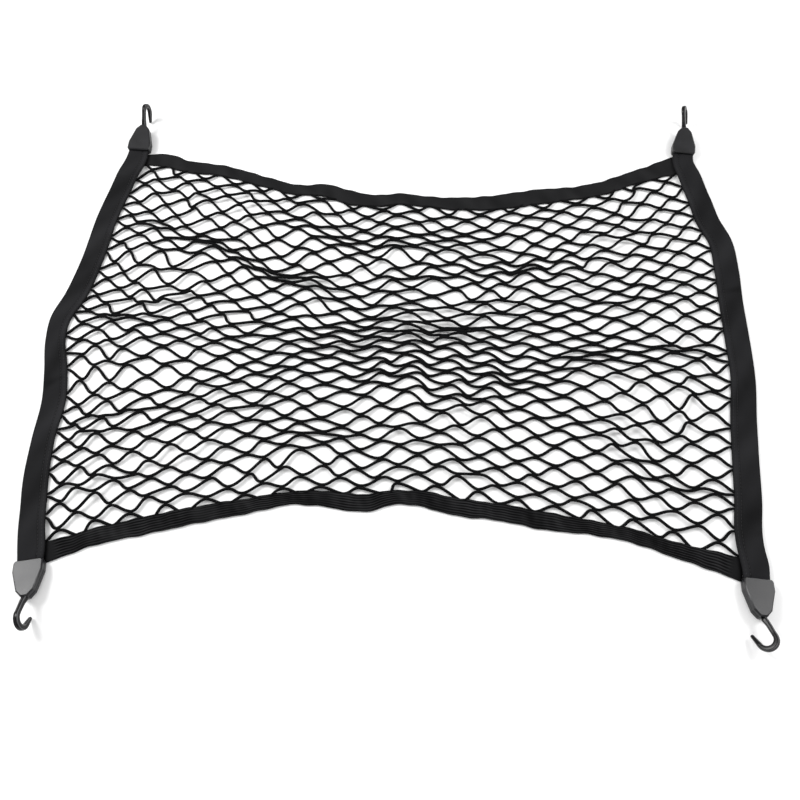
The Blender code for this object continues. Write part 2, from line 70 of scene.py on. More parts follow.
def tubes(name, points, raised=None, crisp=None):
    """One mesh from points[tube, station, around] in mm; rings go round by the right-hand rule.

    A face joins stations i and i + 1 with places j and j + 1, and the last place joins the first.
    raised is a number for every point, which the finishes use to paint shade into grooves and
    highlights onto edges. crisp is an angle in degrees: edges that turn by more are shaded as
    edges.
    """
    count, stations, around, _ = points.shape
    tube, i, j = np.meshgrid(
        np.arange(count), np.arange(stations - 1), np.arange(around), indexing="ij"
    )
    corner_i = np.stack([i, i, i + 1, i + 1], axis=-1).reshape(-1, 4)
    corner_j = np.stack([j, j + 1, j + 1, j], axis=-1).reshape(-1, 4)
    corner_tube = tube.reshape(-1, 1)
    faces = corner_tube * stations * around + corner_i * around + corner_j % around
    start = np.arange(count)[:, None] * stations * around + np.arange(around)
    caps = np.vstack([start[:, ::-1], start + (stations - 1) * around])
    mesh = bpy.data.meshes.new(name)
    mesh.from_pydata((points.reshape(-1, 3) * MM).tolist(), [], faces.tolist() + caps.tolist())
    along = length_along(points.mean(axis=2))
    ring = np.concatenate([points, points[:, :, :1]], axis=2)[:, stations // 2]
    girth = length_along(ring)
    uv = np.stack([girth[corner_tube, corner_j], along[corner_tube, corner_i]], axis=-1)
    uv = np.vstack([uv.reshape(-1, 2), np.zeros((caps.size, 2))])
    mesh.uv_layers.new(name="cloth").data.foreach_set("uv", uv.astype(np.float32).ravel())
    mesh.polygons.foreach_set("use_smooth", np.ones(len(mesh.polygons), bool))
    if raised is not None:
        data = mesh.attributes.new("raised", "FLOAT", "POINT").data
        data.foreach_set("value", np.asarray(raised, np.float32).ravel())
    mesh.update()
    if crisp is not None:
        mesh.set_sharp_from_angle(angle=math.radians(crisp))
    obj = bpy.data.objects.new(name, mesh)
    bpy.context.scene.collection.objects.link(obj)
    triangles = 2 * len(faces) + len(caps) * (around - 2)
    print(f"{name}: {triangles} triangles, girth {girth[0, -1]:.1f} mm")
    return obj


# %% [markdown]
# ## The lie of the four bands
#
# The bands were laid down by hand, so none of them is straight. Each has a short table: the
# middle of the band, its width, a row every few centimetres. A smooth curve through the rows is
# a cubic between each two rows whose slopes match at the rows, and the width is carried along
# in the same way. The tables run once round the net, with the net on the left hand.

# %% The tables, in millimetres
# x, y, width
NEAR_BAND = [
    (-376, -184, 23), (-340, -171, 20), (-275, -155, 21), (-221, -143, 20), (-167, -133, 18),
    (-120, -124, 16), (-84, -125, 19), (-42, -130, 21), (0, -123, 17), (28, -126, 19),
    (60, -134, 21), (111, -141, 20), (160, -151, 21), (206, -158, 17), (250, -167, 16),
    (299, -184, 18), (341, -197, 23), (358, -203, 25),
]
RIGHT_BAND = [
    (378, -182, 30), (388, -126, 31), (395, -77, 31), (403, -26, 31), (413, 27, 30),
    (417, 84, 31), (420, 140, 31), (424, 190, 32), (424, 236, 32), (414, 270, 33),
    (409, 309, 32), (402, 345, 32),
]
FAR_BAND = [
    (384, 370, 30), (351, 357, 25), (314, 343, 22), (278, 328, 23), (242, 320, 22),
    (190, 313, 26), (120, 302, 24), (69, 301, 21), (34, 305, 18), (0, 309, 20),
    (-34, 306, 20), (-69, 312, 24), (-104, 325, 21), (-138, 325, 18), (-190, 341, 18),
    (-246, 360, 19), (-300, 369, 21), (-335, 381, 23), (-352, 381, 20),
]
LEFT_BAND = [
    (-380, 345, 30), (-394, 280, 29), (-402, 207, 29), (-413, 150, 29), (-426, 112, 26),
    (-426, 84, 25), (-417, 40, 28), (-411, 0, 29), (-413, -52, 27), (-411, -102, 29),
    (-403, -155, 29),
]
# name: x, y of the housing's wide edge, heading of its nose clockwise from +Y, pitch, swivel
CORNERS = {
    "near_left": (-395, -198, 171, 9.0, 80),
    "near_right": (377, -218, 187, 8.0, 142),
    "far_right": (399, 388, 8, 12.0, 117),
    "far_left": (-369, 394, 5, 9.0, 97),
}
CENTRE = np.array([1.0, 87.9])  # the outline's middle in the tables' own numbers
BAND_THICK = 3.4
HOUSING_LENGTH = 41.5
HOUSING_THICK = 11.5
TONGUE = 13.5  # how far a band's end reaches into its housing
LEAD = 14.0  # how far it runs straight in front of it
END_WIDTHS = (27.6, 27.8, 29.6)  # in the mouth, at its edge and at the lead
print("rows:", len(NEAR_BAND), len(RIGHT_BAND), len(FAR_BAND), len(LEFT_BAND))

# %% [markdown]
# ## A curve through a table
#
# A band's middle could be a Bezier curve object with a handle at every row. Worked out by hand it
# stays an array, and the width can be one more number that is carried along. The formula is the
# one behind such a curve: between two rows, a cubic that leaves and arrives with the rows' slopes.

# %% A smooth path
STATIONS = 300  # places along each band


def smooth_path(rows):
    """Even stations on cubics through the rows, whose slopes are shared at the rows.

    With t from 0 to 1 between two rows, each row counts 1 + 2 t times (1 - t) squared, and each
    slope counts t times (1 - t) squared times the span, seen from its own end.
    """
    rows = np.array(rows, float)
    chord = length_along(rows[:, :2])
    slope = np.gradient(rows, chord, axis=0)
    at = np.linspace(0, chord[-1], STATIONS)
    k = np.clip(np.searchsorted(chord, at) - 1, 0, len(rows) - 2)
    span = (chord[k + 1] - chord[k])[:, None]
    t = (at - chord[k])[:, None] / span
    return (
        (1 + 2 * t) * (1 - t) ** 2 * rows[k]
        + t * (1 - t) ** 2 * span * slope[k]
        + t * t * (3 - 2 * t) * rows[k + 1]
        - t * t * (1 - t) * span * slope[k + 1]
    )


near_path, far_path = smooth_path(NEAR_BAND), smooth_path(FAR_BAND)
print("near and far band:", near_path.shape, far_path.shape)

# %% [markdown]
# ## Where the housings stand
#
# A side band has to enter its two housings straight, or it would look glued on. So the housings
# are placed first. Each has a matrix that takes it to its corner from the origin, where its nose
# points along +Y. The band gets three more rows there: inside the mouth, at its edge, and a little
# in front of it. The same matrix sets the housing's shell and its hook later on.


# %% A matrix for each corner
def turn(axis, degrees):
    """A 4 by 4 rotation about one of the axes x, y, z, by the right-hand rule."""
    c, s = math.cos(math.radians(degrees)), math.sin(math.radians(degrees))
    a, b = {"x": (1, 2), "y": (2, 0), "z": (0, 1)}[axis]
    matrix = np.eye(4)
    matrix[[a, b], [a, b]] = c
    matrix[b, a] = s
    matrix[a, b] = -s
    return matrix


def corner_matrix(name):
    """The housing's place: its +Y runs to the nose, and its lower face is at z = 0."""
    x, y, heading, pitch, _ = CORNERS[name]
    place = turn("z", -heading) @ turn("x", pitch)
    place[:2, 3] = (x, y) - CENTRE
    return place


def moved(points, matrix):
    """Points taken through a 4 by 4 matrix."""
    return points @ matrix[:3, :3].T + matrix[:3, 3]


def band_end(name):
    """Rows of a side band at its housing, from inside the mouth outwards: x, y, width."""
    lift = HOUSING_THICK / 2 - BAND_THICK / 2
    at = np.array([[0, TONGUE, lift], [0, 0, lift], [0, -LEAD, lift]])
    place = moved(at, corner_matrix(name))
    return [(*spot[:2] + CENTRE, width) for spot, width in zip(place, END_WIDTHS)]


for name in CORNERS:
    print(name, "housing at", corner_matrix(name)[:2, 3].round(1), "mm")

# %% [markdown]
# ## The edges of the bands
#
# What the eye follows on a band is its two edges. They lie half its width to the left and to the
# right of its middle, along the normal of the path, and everything else about a band is made
# from them: its section, its seams, and the line where the mesh goes into its fold.


# %% Two edge lines for each band
def unit(way):
    """Vectors divided by their lengths."""
    return way / np.linalg.norm(way, axis=-1, keepdims=True)


def left_of(way):
    """Vectors in the plane turned a quarter to the left: x, y becomes -y, x."""
    return np.stack([-way[..., 1], way[..., 0]], axis=-1)


def edges_of(path):
    """The outer and inner edge lines of a band, half its width to either side of its middle."""
    side = unit(left_of(np.gradient(path[:, :2], axis=0)))
    half = path[:, 2:3] / 2
    middle = path[:, :2] - CENTRE
    return middle - side * half, middle + side * half


SIDES = {
    "right": (RIGHT_BAND, "near_right", "far_right"),
    "left": (LEFT_BAND, "far_left", "near_left"),
}
side_edges = {
    name: edges_of(smooth_path(band_end(start) + rows + band_end(end)[::-1]))
    for name, (rows, start, end) in SIDES.items()
}
long_edges = {"near": edges_of(near_path), "far": edges_of(far_path)}
for name, (outer, inner) in {**side_edges, **long_edges}.items():
    print(f"{name} band: {length_along((outer + inner) / 2)[-1]:.0f} mm along its middle")

# %% [markdown]
# ## The net of joints
#
# The mesh has 36 half meshes from left to right and 42 from near to far. Stretched evenly in its
# frame, its joints would lie on a patch between its four edges: the blend of the near and far
# edges, plus the blend of the left and right edges, less the blend of the four corners. A slack
# net doesn't lie evenly. It is bunched along some lines and ripples along others, its cords lean,
# and every joint sits a little off its place. All of that is short tables and seeded noise, so
# that the net looks the same every time.

# %% The tables of the slack
ACROSS, UP = 36, 42
MESH_TUCK = 2.5  # the mesh runs this far into the fold of each band
CORD = 3.6
# Rows are drawn towards a line through (across, up), in shares of the net, that climbs by slope.
# Where the pull is below zero they stand apart there.
# across, up, slope, reach across, reach up, pull
GATHERS = [
    (0.14, 0.78, -0.45, 0.16, 0.06, 0.62),
    (0.33, 0.69, -0.35, 0.12, 0.07, 0.55),
    (0.50, 0.53, 0.00, 0.17, 0.09, 0.45),
    (0.54, 0.38, 0.00, 0.20, 0.14, 0.30),
    (0.64, 0.64, 0.05, 0.15, 0.06, 0.45),
    (0.56, 0.73, 0.10, 0.12, 0.05, 0.30),
    (0.70, 0.79, 0.20, 0.14, 0.05, 0.25),
    (0.68, 0.24, -0.25, 0.14, 0.05, 0.35),
    (0.93, 0.13, -0.15, 0.12, 0.045, 0.70),
    (0.97, 0.46, -0.30, 0.12, 0.040, 0.65),
    (0.03, 0.54, -0.20, 0.12, 0.040, 0.60),
    (0.10, 0.10, 0.10, 0.12, 0.035, 0.45),
    (0.05, 0.36, 0.00, 0.14, 0.080, -0.45),
    (0.10, 0.67, -0.20, 0.10, 0.060, -0.45),
    (0.35, 0.08, 0.00, 0.15, 0.060, -0.45),
    (0.90, 0.30, 0.00, 0.10, 0.090, -0.35),
    (0.62, 0.50, 0.00, 0.40, 0.300, 0.14),
    (0.80, 0.93, 0.00, 0.15, 0.050, -0.30),
]
CLOSER_LEFT, LEFT_REACH = 0.035, 0.15  # how much closer the columns stand at the left, and how far
# Upright lines where the rows go up in y over a ripple, or step down in y from left to right.
# x, lowest y, highest y, rise, drop, reach
RIPPLES = [
    (5, -150, 125, 2.5, 1.5, 11),
    (110, -150, 120, 3.0, 1.5, 12),
    (14, 35, 130, 0.0, 5.5, 10),
    (165, -60, 160, 2.5, 1.0, 13),
    (-300, 60, 200, 0.0, 4.5, 16),
    (-235, -120, 60, 3.0, 0.0, 14),
    (320, -20, 120, 2.5, 0.0, 14),
]
# Regions where the joints of every second upright line lean one way and the others the other way,
# so that neighbouring cords run side by side in waves.
# x, y, reach in x, reach in y, lean in radians
LEANS = [
    (60, -65, 130, 65, 0.66),
    (130, 110, 160, 42, 0.50),
    (-110, 75, 90, 40, 0.34),
    (250, -150, 80, 30, 0.45),
    (-60, 0, 60, 40, 0.25),
    (-250, 130, 60, 50, -0.35),
    (-330, 100, 50, 40, 0.30),
    (-340, -60, 50, 60, -0.25),
]
# Regions that are less even than the rest.
# x, y, reach in x, reach in y, more
UNEVEN = [
    (-330, 60, 110, 200, 1.1),
    (-320, 250, 90, 60, 0.7),
    (330, 240, 70, 60, 1.2),
    (380, 0, 60, 150, 0.5),
    (-200, -190, 120, 50, 0.6),
]
# Places where the nearest mesh is held open.
# x, y, reach, push
OPEN_CELLS = [(3, 107, 11, 6.0), (-150, 155, 12, 3.0), (-255, -20, 14, 2.0), (110, 130, 12, 2.5)]
print(len(GATHERS), "gathers,", len(RIPPLES), "ripples,", len(LEANS), "leaning regions")

# %% [markdown]
# ## The even net
#
# First the net as it would lie if it were stretched. The mesh ends inside the folds of the bands,
# so its four edges are the bands' inner edges moved into the fold, cut off where they cross. The
# patch blends them, and the gathers change only how far up a row lies, before the blending.

# %% A patch between four edges
CORNER_CLEAR = 0.5  # no point of an edge line lies nearer to a corner than this
CROSSING_STEPS = 12


def inside_band(outer, inner, depth):
    """The line that runs depth inside a band from its inner edge."""
    return inner + depth * unit(outer - inner)


def crossing(level, upright):
    """Where a line that runs in x meets one that runs in y, by going from one to the other."""
    level = level[np.argsort(level[:, 0])]
    upright = upright[np.argsort(upright[:, 1])]
    x = upright[:, 0].mean()
    for _ in range(CROSSING_STEPS):
        y = np.interp(x, level[:, 0], level[:, 1])
        x = np.interp(y, upright[:, 1], upright[:, 0])
    return np.array([x, y])


def between(line, start, end, axis):
    """The part of a line between two points on it, in order along one axis."""
    line = line[np.argsort(line[:, axis])]
    place = line[:, axis]
    inside = (place > start[axis] + CORNER_CLEAR) & (place < end[axis] - CORNER_CLEAR)
    return np.vstack([start, line[inside], end])


def shares(line, share):
    """Points at shares from 0 to 1 of a line's length."""
    along = length_along(line)
    return np.stack([np.interp(share * along[-1], along, line[:, k]) for k in (0, 1)], axis=-1)


def net_grid(depth):
    """All places of the half meshes as [across, up, xy]: the patch of the edges, with its gathers.

    A gather takes from each row's share its pull, times its distance from the line, times a bell
    curve across and along the line. The columns stand closer at the left by an exponential.
    """
    near, far = (inside_band(*long_edges[name], depth) for name in ("near", "far"))
    left, right = (inside_band(*side_edges[name], depth) for name in ("left", "right"))
    a, b = crossing(near, left), crossing(near, right)
    c, d = crossing(far, right), crossing(far, left)
    near, far = between(near, a, b, 0), between(far, d, c, 0)
    left, right = between(left, a, d, 1), between(right, b, c, 1)
    columns = np.linspace(0, 1, ACROSS + 1)
    columns = columns - CLOSER_LEFT * (1 - np.exp(-columns / LEFT_REACH) - columns)
    columns[-1] = 1.0
    u, v = np.meshgrid(columns, np.linspace(0, 1, UP + 1), indexing="ij")
    drawn = v.copy()
    for across, rise, slope, reach_u, reach_v, pull in GATHERS:
        off = v - rise - slope * (u - across)
        drawn -= pull * off * np.exp(-(((u - across) / reach_u) ** 2) - (off / reach_v) ** 2)
    s, t = u[..., None], drawn[..., None]
    grid = (1 - t) * shares(near, u) + t * shares(far, u)
    grid += (1 - s) * shares(left, drawn) + s * shares(right, drawn)
    return grid - (1 - s) * (1 - t) * a - s * (1 - t) * b - (1 - s) * t * d - s * t * c


even_net = net_grid(MESH_TUCK)
print("even net:", even_net.shape)

# %% [markdown]
# ## Noise for a net
#
# Cloth and cord are uneven at several scales, and random numbers alone would only look jagged.
# So the noise is given at a few knots and carried to all joints by raised cosines, as broad or as
# narrow as needed. At the rim the cords are sewn in, so there a joint can only slide along the
# band and sink into it.

# %% Drift and the rim
RIM_SLIDE, RIM_SINK = 3.0, 4.0  # along the near and far band, and into it at most
SIDE_SLIDE = 2.2  # along the side bands


def drift(rng, knots_across, knots_up, layers=2):
    """Noise with so many knots each way, carried to all joints by raised cosines."""

    def weights(count, knots):
        off = np.abs(np.linspace(0, knots - 1, count)[:, None] - np.arange(knots))
        return 0.5 + 0.5 * np.cos(np.pi * np.clip(off, 0, 1))

    values = rng.normal(0, 1, (knots_across, knots_up, layers))
    return np.einsum(
        "ia,abk,jb->ijk", weights(ACROSS + 1, knots_across), values, weights(UP + 1, knots_up)
    )


def rim_distance():
    """How many half meshes each joint is from the nearest band."""
    i, j = np.arange(ACROSS + 1), np.arange(UP + 1)
    return np.minimum.outer(np.minimum(i, i[::-1]), np.minimum(j, j[::-1]))


def rim_slide(grid, rng):
    """Where the joints at the rim went as they were sewn in: along the band and into it."""
    move = np.zeros_like(grid)
    for row, beside in ((0, 1), (-1, -2)):
        into = unit(grid[:, row] - grid[:, beside])
        slid = rng.normal(0, RIM_SLIDE, (len(into), 1)) * -left_of(into)
        sunk = rng.uniform(0, RIM_SINK, (len(into), 1)) * into
        move[1:-1, row] = (slid + sunk)[1:-1]
    for column in (0, -1):
        move[column, 1:-1, 1] = rng.normal(0, SIDE_SLIDE, grid.shape[1] - 2)
    return move


print("joints at the rim:", int((rim_distance() == 0).sum()))

# %% [markdown]
# ## The slack net
#
# Now the even net is let go. Each table moves the joints in its own way, the noise is added, and
# near the bands the joints stay where they were sewn. Last, crowded rows are set apart again,
# because cords are solid and can't pass through each other.

# %% From even to slack
RIPPLE_FADE = 15  # a ripple dies out over this length
RIPPLE_STEEP = 1.6  # how sharply the cords drop beside it
# Noise in x and in y: broad, of each column by itself, and of each joint by itself.
BROAD_NOISE, COLUMN_NOISE, JOINT_NOISE = (3.2, 3.2), (0.9, 1.5), (1.3, 1.2)
PLAIN_UNEVEN, RIM_UNEVEN = 0.6, 0.5  # share of the last of them everywhere, and more near a band
LEAST_GAP = 5.0  # between two rows of a column


def ripple_rise(x, y):
    """Rise times a bell curve of x, less drop times x over reach times the bell curve."""
    up = np.zeros_like(x)
    for at, low, high, rise, drop, reach in RIPPLES:
        off = (x - at) / reach
        held = 1 / (1 + np.exp((low - y) / RIPPLE_FADE)) / (1 + np.exp((y - high) / RIPPLE_FADE))
        up += (rise - drop * off * RIPPLE_STEEP) * np.exp(-(off**2) / 2) * held
    return up


def opened(grid):
    """The push away from each open mesh: distance over reach, times a bell curve.

    A place is the middle of a mesh where column plus row is odd, and the push is centred on the
    nearest such place. It is a quarter as strong in x and reaches further there.
    """
    x, y = grid[..., 0], grid[..., 1]
    joint = np.add.outer(np.arange(ACROSS + 1), np.arange(UP + 1)) % 2 == 0
    move = np.zeros_like(grid)
    for at_x, at_y, reach, push in OPEN_CELLS:
        nearest = np.argmin(np.hypot(x - at_x, y - at_y) + 1000 * joint)
        at_x, at_y = grid.reshape(-1, 2)[nearest]
        away = np.stack([(x - at_x) * 0.25, y - at_y], axis=-1) / reach
        near = np.exp(0.5 - ((x - at_x) ** 2 / 3 + (y - at_y) ** 2) / (2 * reach**2))
        move += push * away * near[..., None]
    return move


def unevenness(x, y):
    """How uneven the net is at each joint: bell curves at the table's regions and near the rim."""
    much = np.full_like(x, PLAIN_UNEVEN)
    for at_x, at_y, reach_x, reach_y, more in UNEVEN:
        much += more * np.exp(-(((x - at_x) / reach_x) ** 2) - ((y - at_y) / reach_y) ** 2)
    return much + RIM_UNEVEN * np.exp(-((rim_distance() - 2.0) ** 2) / 4)


def rows_apart(grid):
    """Widens the gaps below the least one, then scales all gaps of a column back to its length."""
    up = grid[..., 1]
    gaps = np.maximum(np.diff(up, axis=1), LEAST_GAP)
    gaps *= (up[:, -1:] - up[:, :1]) / gaps.sum(axis=1, keepdims=True)
    up[:, 1:-1] = up[:, :1] + np.cumsum(gaps, axis=1)[:, :-1]
    return grid


def slackened(grid, much, rng):
    """The grid with its ripples, open meshes and noise; the rim only slides a little."""
    move = opened(grid)
    move[..., 1] += ripple_rise(grid[..., 0], grid[..., 1])
    move += drift(rng, 11, 11) * BROAD_NOISE
    move += drift(rng, ACROSS + 1, 9) * COLUMN_NOISE
    move += rng.normal(0, 1, grid.shape) * JOINT_NOISE * much[..., None]
    free = np.clip(rim_distance() / 2, 0, 1)[..., None]
    return rows_apart(grid + move * free + rim_slide(grid, rng))


uneven = unevenness(even_net[..., 0], even_net[..., 1])
joints = slackened(even_net, uneven, np.random.default_rng(5))
pitch = np.linalg.norm(np.diff(joints[::2, ::2], axis=0), axis=-1)
print(f"joint grid {joints.shape[:2]}, meshes {pitch.min():.0f} to {pitch.max():.0f} mm wide")

# %% [markdown]
# ## The cords
#
# Between two joints a cord is an S, and at each joint two cords run side by side for a moment.
# So one cord can be drawn as a wave from the left band to the right band: at one joint it
# touches the cord below, at the next the cord above. Every half wave is a cubic Bezier curve. Its
# handles point between the way of the row and the straight line to the next joint. The wave is
# lifted a little at random, as a real net never lies quite flat, and that makes the soft shadows
# inside the meshes.

# %% How the cords pass a joint
FLOAT = 0.15  # the lowest cords clear the floor by this much
SWELL, CROWD, BESIDE_BAND = 1.5, 3.0, 1.2  # heights of what lifts the cords
CROWDED = 6.5  # rows that are closer than this ride up on each other
HIGHEST = 5.0
LEAN_NOISE, TWIST_NOISE = 0.16, 0.19  # in radians
ODD_LEAN, EVEN_LEAN = 0.75, -1.25  # share of the lean in odd and in even columns


def joint_heights(rng):
    """Height of the cords' middle at each joint: on the floor, with low swells in between."""
    swell = drift(rng, 14, 14, 1)[..., 0] ** 2 * SWELL
    gap = np.linalg.norm(np.diff(joints, axis=1, append=joints[:, -1:]), axis=-1)
    crowd = np.clip(1 - gap / CROWDED, 0, 1) * CROWD
    lifted = np.minimum(swell + crowd, HIGHEST) * np.clip(rim_distance() / 4, 0, 1)
    beside_band = BESIDE_BAND * np.exp(-((rim_distance() - 2.0) ** 2) / 2)
    middle = np.where(rim_distance() == 0, BAND_THICK / 2, CORD / 2 + FLOAT)
    return middle + lifted + beside_band * np.clip(rim_distance(), 0, 1)


def joint_ways(rng):
    """The way of the cords at each joint: from the joints before to those after, and its lean."""
    beside = np.pad(joints, ((0, 0), (1, 1), (0, 0)), mode="edge")
    way = np.gradient((beside[:, 2:] + beside[:, :-2]) / 2, axis=0)
    lean = drift(rng, 7, 9, 1)[..., 0] * LEAN_NOISE
    for x, y, reach_x, reach_y, most in LEANS:
        off = (joints - (x, y)) / (reach_x, reach_y)
        lean += most * np.exp(-(off**2).sum(axis=-1))
    lean *= np.where(np.arange(ACROSS + 1) % 2, ODD_LEAN, EVEN_LEAN)[:, None]
    twist = lean + rng.normal(0, TWIST_NOISE, joints.shape[:2]) * uneven
    twist = (twist * np.clip(rim_distance(), 0, 1))[..., None]
    return way * np.cos(twist) + left_of(way) * np.sin(twist)


wave_rng = np.random.default_rng(11)
ways = joint_ways(wave_rng)
heights = joint_heights(wave_rng)
print(f"cord middles lie {heights.min():.1f} to {heights.max():.1f} mm high")

# %% [markdown]
# ## From joints to waves
#
# Joining thousands of short curves would leave a seam at every joint. A wave has none, and all
# waves have the same number of stations, so they are one array. Only eight stations lie in a half
# wave and eight points round it, because the mesh is the piece with by far the most triangles.

# %% The mesh as waves
BAR_STEPS = 8  # stations in a half wave
AROUND_CORD = 8
TOUCH = 0.36 * CORD  # from a joint to the middle of each of its two cords
ABOVE = 0.25  # the upper cord of a joint lies this much higher, the other this much lower
HANDLE_REACH, HANDLE_AHEAD = (0.34, 0.50), (0.0, 0.3)  # least and most, as shares
ARCH = 1.2  # the most that the handles of a half wave are lifted
THIN = 1.25  # radius where a cord enters a band


def bezier(start, one, two, end, t):
    """Its four weights are (1 - t) cubed, 3 t (1 - t) squared, 3 t squared (1 - t) and t cubed."""
    return (
        (1 - t) ** 3 * start + 3 * t * (1 - t) ** 2 * one + 3 * t * t * (1 - t) * two + t**3 * end
    )


def waves(rng):
    """Centre lines of all the cords as [cord, station, xyz], and their radii.

    Cord k is at row k where column plus k is even, and at row k + 1 where it is odd. The handles
    of a half wave follow the joints' ways, and they point a little towards its far end. A cord is
    thinner where it enters a band.
    """
    column = np.arange(ACROSS + 1)
    cord = np.arange(UP)[:, None]
    row = cord + (column + cord) % 2
    side = np.where((column + cord) % 2 == 0, 1.0, -1.0)[..., None]
    at = joints[column, row] + unit(left_of(ways))[column, row] * side * TOUCH
    z = heights[column, row][..., None] + side * ABOVE
    place = np.concatenate([at, z], axis=-1)
    way = np.concatenate([ways[column, row], np.zeros_like(z)], axis=-1)
    reach = rng.uniform(*HANDLE_REACH, (2, UP, ACROSS, 1))
    ahead = rng.uniform(*HANDLE_AHEAD, (2, UP, ACROSS, 1))
    arch = rng.uniform(0, ARCH, (UP, ACROSS, 1)) * (0, 0, 1)
    start, end = place[:, :-1], place[:, 1:]
    one = start + (way[:, :-1] * (1 - ahead[0]) + (end - start) * ahead[0]) * reach[0] + arch
    two = end - (way[:, 1:] * (1 - ahead[1]) + (end - start) * ahead[1]) * reach[1] + arch
    t = (np.arange(BAR_STEPS) / BAR_STEPS)[:, None]
    curve = bezier(*(point[:, :, None] for point in (start, one, two, end)), t)
    thin = np.where(rim_distance() == 0, THIN, CORD / 2)[column, row][..., None]
    grow, shrink = np.clip(3 * t[:, 0], 0, 1), np.clip(3 * t[:, 0] - 2, 0, 1)
    radius = thin[:, :-1] + (CORD / 2 - thin[:, :-1]) * grow - (CORD / 2 - thin[:, 1:]) * shrink
    line = np.concatenate([curve.reshape(UP, -1, 3), place[:, -1:]], axis=1)
    return line, np.concatenate([radius.reshape(UP, -1), thin[:, -1]], axis=1)


def round_tube(line, radius, around):
    """Rings round each line: the radius times cosine along one normal and sine along the other."""
    tangent = unit(np.gradient(line, axis=-2))
    level = unit(np.cross([0.0, 0.0, 1.0], tangent))
    up = np.cross(tangent, level)
    angle = np.linspace(0, 2 * np.pi, around, endpoint=False)[:, None]
    radius = np.broadcast_to(radius, line.shape[:-1])[..., None, None]
    ring = np.cos(angle) * level[..., None, :] + np.sin(angle) * up[..., None, :]
    return line[..., None, :] + radius * ring


cord_lines, cord_radii = waves(wave_rng)
net = tubes("net_cords", round_tube(cord_lines, cord_radii, AROUND_CORD))

# %% [markdown]
# ## A band's section
#
# A band is one section carried along its two edge lines. The section is a flat loop with round
# ends: the half thickness at a distance d from the edge is that of a circle until it is full. A
# flat plane with a Solidify modifier would have sharp edges all round, and a folded and sewn band
# has soft ones. Each point of the top also keeps how far it is raised, so that the grooves can be
# painted darker and the tops lighter in the finish, as painted shade and painted light.


# %% Sections along the edges
BELOW_POINTS = 10  # of the section's lower side
SIDE_POINTS = 44  # across the top of a side band
EDGE_SHARE = 0.35  # how much the points on top are drawn towards its edges


def smoothstep(t):
    """From 0 to 1 and level at both ends: 3 t squared less 2 t cubed."""
    t = np.clip(t, 0, 1)
    return t * t * (3 - 2 * t)


def strip(name, outer, inner, lift, thick, relief, across, painted_shade=(0.0, 2.5)):
    """A band: section points placed at shares s across, at the middle height plus or minus half.

    relief(s, d, v) gives extra height on the top at share s, distance d from the inner edge and
    distance v along. What each point keeps of it is painted_shade's first value, plus the height
    times its second. From that the finish paints the low points darker and the high ones lighter.
    """
    v = length_along((outer + inner) / 2)[:, None]
    width = np.linalg.norm(inner - outer, axis=1)[:, None]
    below = (1 - np.cos(np.linspace(0, np.pi, BELOW_POINTS))) / 2
    above = (1 - np.cos(np.linspace(0, np.pi, across))) / 2
    above = EDGE_SHARE * above + (1 - EDGE_SHARE) * np.linspace(0, 1, across)
    s = np.concatenate([below[1:-1], above[::-1]])
    top = np.arange(len(s)) >= BELOW_POINTS - 2
    thick = np.broadcast_to(thick, lift.shape)[:, None]
    depth = np.clip(np.minimum(s, 1 - s) * width / (thick / 2), 0, 1)
    half = np.sqrt(1 - (1 - depth) ** 2)
    extra = np.where(top, relief(s, (1 - s) * width, v) * half, 0)
    z = lift[:, None] + thick / 2 * (1 + np.where(top, half, -half)) + extra
    xy = outer[:, None] + s[:, None] * (inner - outer)[:, None]
    points = np.concatenate([xy, z[..., None]], axis=-1)
    return tubes(name, points[None], painted_shade[0] + extra * painted_shade[1])


print("points round a side band:", SIDE_POINTS + BELOW_POINTS - 2)

# %% [markdown]
# ## The side bands
#
# The webbing of the short sides is smooth, with a groove where its folded edge is sewn down. Each
# of its ends lies over the end of a long band and then climbs into a housing, whose nose is
# raised. That rise is worked out along the band, because a straight one would cut through both.

# %% Webbing
OVER = 3.35  # height of a side band where it lies on the end of a long one
RISE_ENDS, RISE_FADES = 34, 40  # from the mouth it stays raised so far, then comes down over this
FOLD_LINE = 7.5  # where the folded edge is sewn down, from the inner edge


def ends_lift(along, total, start, end):
    """Height of a side band's underside: up the slope of each housing, and over the long bands.

    Inside the mouth it rises with the housing's pitch. Outside, a cubic that starts with that
    slope and ends level takes it down onto the long band's end, and then it fades to the floor.
    """
    lift = np.zeros_like(along)
    for distance, corner in ((along - TONGUE, start), (total - TONGUE - along, end)):
        pitch = math.radians(CORNERS[corner][3])
        mouth = (HOUSING_THICK - BAND_THICK) / 2 * math.cos(pitch)
        t = np.clip(distance / TONGUE, 0, 1)
        fall = (mouth - OVER) * (1 + 2 * t) - math.tan(pitch) * TONGUE * t
        outside = OVER + fall * (1 - t) ** 2
        here = np.where(distance < 0, mouth - math.tan(pitch) * distance, outside)
        lift += here * (1 - smoothstep((distance - RISE_ENDS) / RISE_FADES))
    return lift


def webbing_relief(s, d, v):
    """A groove at the fold's seam, slow waves along, and a crease here and there."""
    groove = -0.5 * np.exp(-(((d - FOLD_LINE) / 0.6) ** 2)) + 0.15 * smoothstep((8.2 - d) / 1.4)
    wave = 0.16 * np.sin(v / 23 + 2 * s) + 0.10 * np.sin(v / 9.1 + 5 * s)
    crease = -0.30 * np.clip(np.cos((v + 14 * s) / 21.0) * np.cos(v / 34.0 + 1), 0, 1) ** 30
    return groove + wave + crease


bands = {}
side_lift = {}
for name, (_, start, end) in SIDES.items():
    outer, inner = side_edges[name]
    v = length_along((outer + inner) / 2)
    side_lift[name] = ends_lift(v, v[-1], start, end)
    bands[name] = strip(
        f"{name}_webbing", outer, inner, side_lift[name], BAND_THICK, webbing_relief, SIDE_POINTS
    )
    print(f"{name} band rises to {side_lift[name].max():.1f} mm at its housings")

